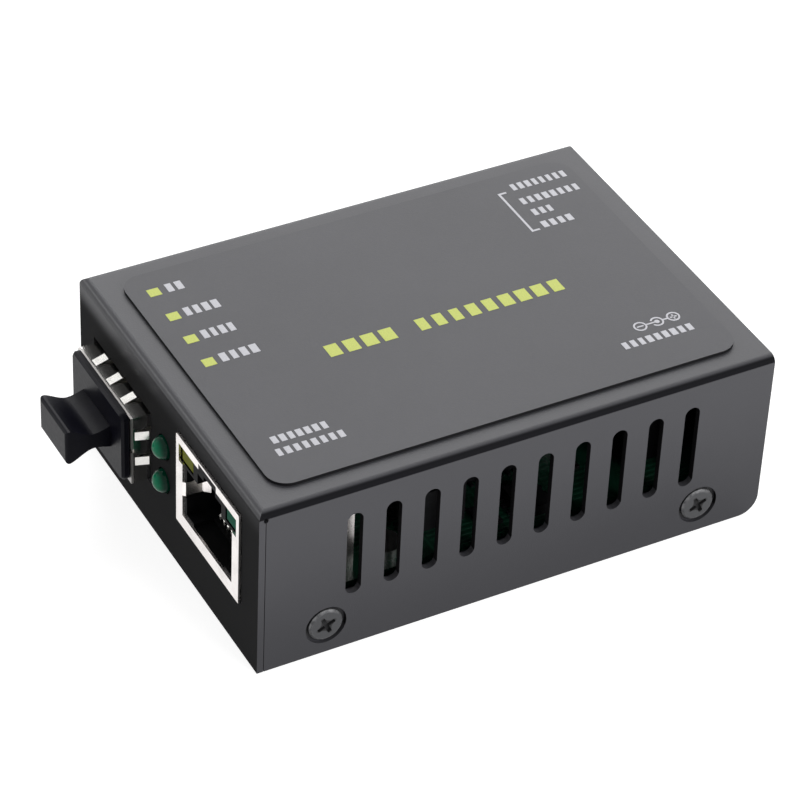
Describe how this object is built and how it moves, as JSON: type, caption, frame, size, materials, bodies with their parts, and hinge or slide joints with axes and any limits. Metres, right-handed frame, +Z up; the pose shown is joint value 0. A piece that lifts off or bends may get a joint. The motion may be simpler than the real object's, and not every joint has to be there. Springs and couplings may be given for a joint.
{
  "type": "fibre media converter",
  "caption": "Small folded metal box that converts between copper and fibre network lines, with ports in the front, slotted sides and a pull-out dust plug.",
  "frame": {"origin": "centre of the casing's underside", "axes": "+Z up, the port panel faces -Y, the power inlet faces +Y"},
  "size_m": [0.0488, 0.0759, 0.0238],
  "materials": {
    "casing_paint": "fine powder coat",
    "label_film": "satin film",
    "screw_black": "black oxide",
    "board_green": "solder mask",
    "standoff_brass": "plain",
    "bright_steel": "tin plate",
    "cage_steel": "dull nickel",
    "spring_nickel": "nickel plate",
    "shield_nickel": "nickel plate",
    "black_plastic": "moulded",
    "gold_plate": "gold plate",
    "plug_rubber": "satin",
    "green_lens": "tinted lens",
    "yellow_lens": "tinted lens",
    "chip_black": "moulded",
    "ferrite_grey": "matt",
    "can_aluminium": "drawn",
    "ceramic_tan": "ceramic"
  },
  "bodies": {
    "converter": {"top_cover": "casing_paint", "base_tray": "casing_paint", "label_overlay": "label_film", "cover_screws": "screw_black", "circuit_board": "board_green", "board_standoffs": "standoff_brass", "board_screws": "bright_steel", "cage_shell": "cage_steel", "cage_floor": "cage_steel", "cage_spring_collar": "spring_nickel", "sfp_connector": "black_plastic", "sfp_contacts": "gold_plate", "led_holder": "black_plastic", "lower_status_led": "green_lens", "upper_status_led": "green_lens", "status_led_leads": "bright_steel", "jack_shield": "shield_nickel", "jack_housing": "black_plastic", "jack_contacts": "gold_plate", "jack_left_led": "yellow_lens", "jack_right_led": "green_lens", "dc_jack_housing": "black_plastic", "dc_jack_pin": "bright_steel", "dc_jack_spring": "bright_steel", "transceiver_chip": "chip_black", "magnetics": "chip_black", "crystal": "bright_steel", "power_inductor": "ferrite_grey", "bulk_capacitors": "can_aluminium", "regulator": "chip_black", "memory_chip": "chip_black", "ceramic_capacitors": "ceramic_tan", "chip_resistors": "chip_black"},
    "plug": {"dust_plug": "plug_rubber"}
  },
  "joints": [
    {"name": "plug_slide", "type": "slide", "parent": "converter", "child": "plug", "axis": [0, -1, 0], "range_m": [0, 0.012]}
  ]
}
